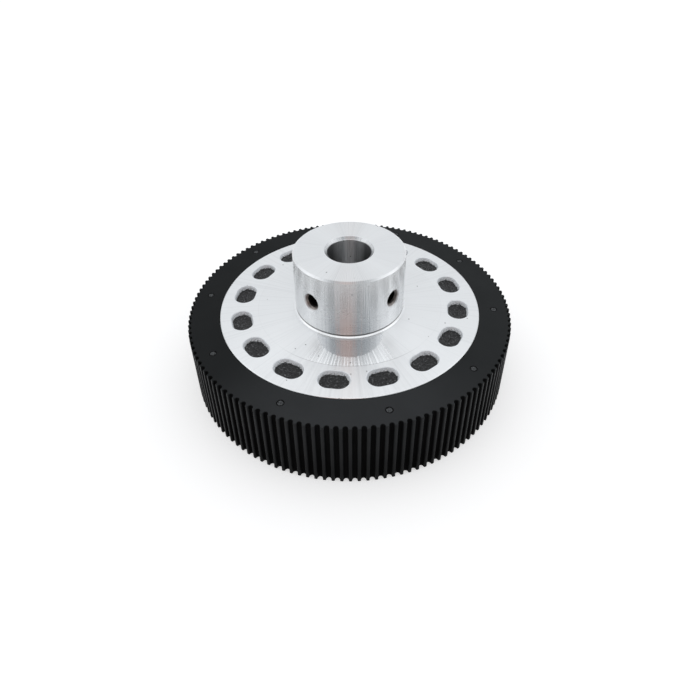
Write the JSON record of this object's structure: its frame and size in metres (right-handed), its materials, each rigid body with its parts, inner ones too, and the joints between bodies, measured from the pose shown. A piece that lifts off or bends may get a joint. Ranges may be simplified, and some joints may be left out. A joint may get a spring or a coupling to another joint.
{
  "type": "timing belt pulley",
  "caption": "Toothed timing belt pulley: black moulded rim on an aluminium flange with a long bored boss and radial set screws.",
  "frame": {"origin": "on the bore axis, in the plane of the rear faces of hub and rim", "axes": "+Z along the bore towards the boss; -Y towards the side between the two set screws"},
  "size_m": [0.1282, 0.1282, 0.0526],
  "materials": {
    "moulded_plastic": "satin-matt black glass-filled moulding with faint ejector marks",
    "turned_aluminium": "bright turned and faced, fine concentric tool marks",
    "blackened_steel": "black oxide with a light film of oil"
  },
  "bodies": {
    "pulley": {"toothed_rim": "moulded_plastic", "hub_flange": "turned_aluminium"},
    "left_screw": {"set_screw_left": "blackened_steel"},
    "right_screw": {"set_screw_right": "blackened_steel"}
  },
  "joints": [
    {"name": "left_screw_travel", "type": "slide", "parent": "pulley", "child": "left_screw", "axis": [-0.66, -0.7513, 0], "range_m": [-0.002, 0.006]},
    {"name": "right_screw_travel", "type": "slide", "parent": "pulley", "child": "right_screw", "axis": [0.7513, -0.66, 0], "range_m": [-0.002, 0.006]}
  ]
}
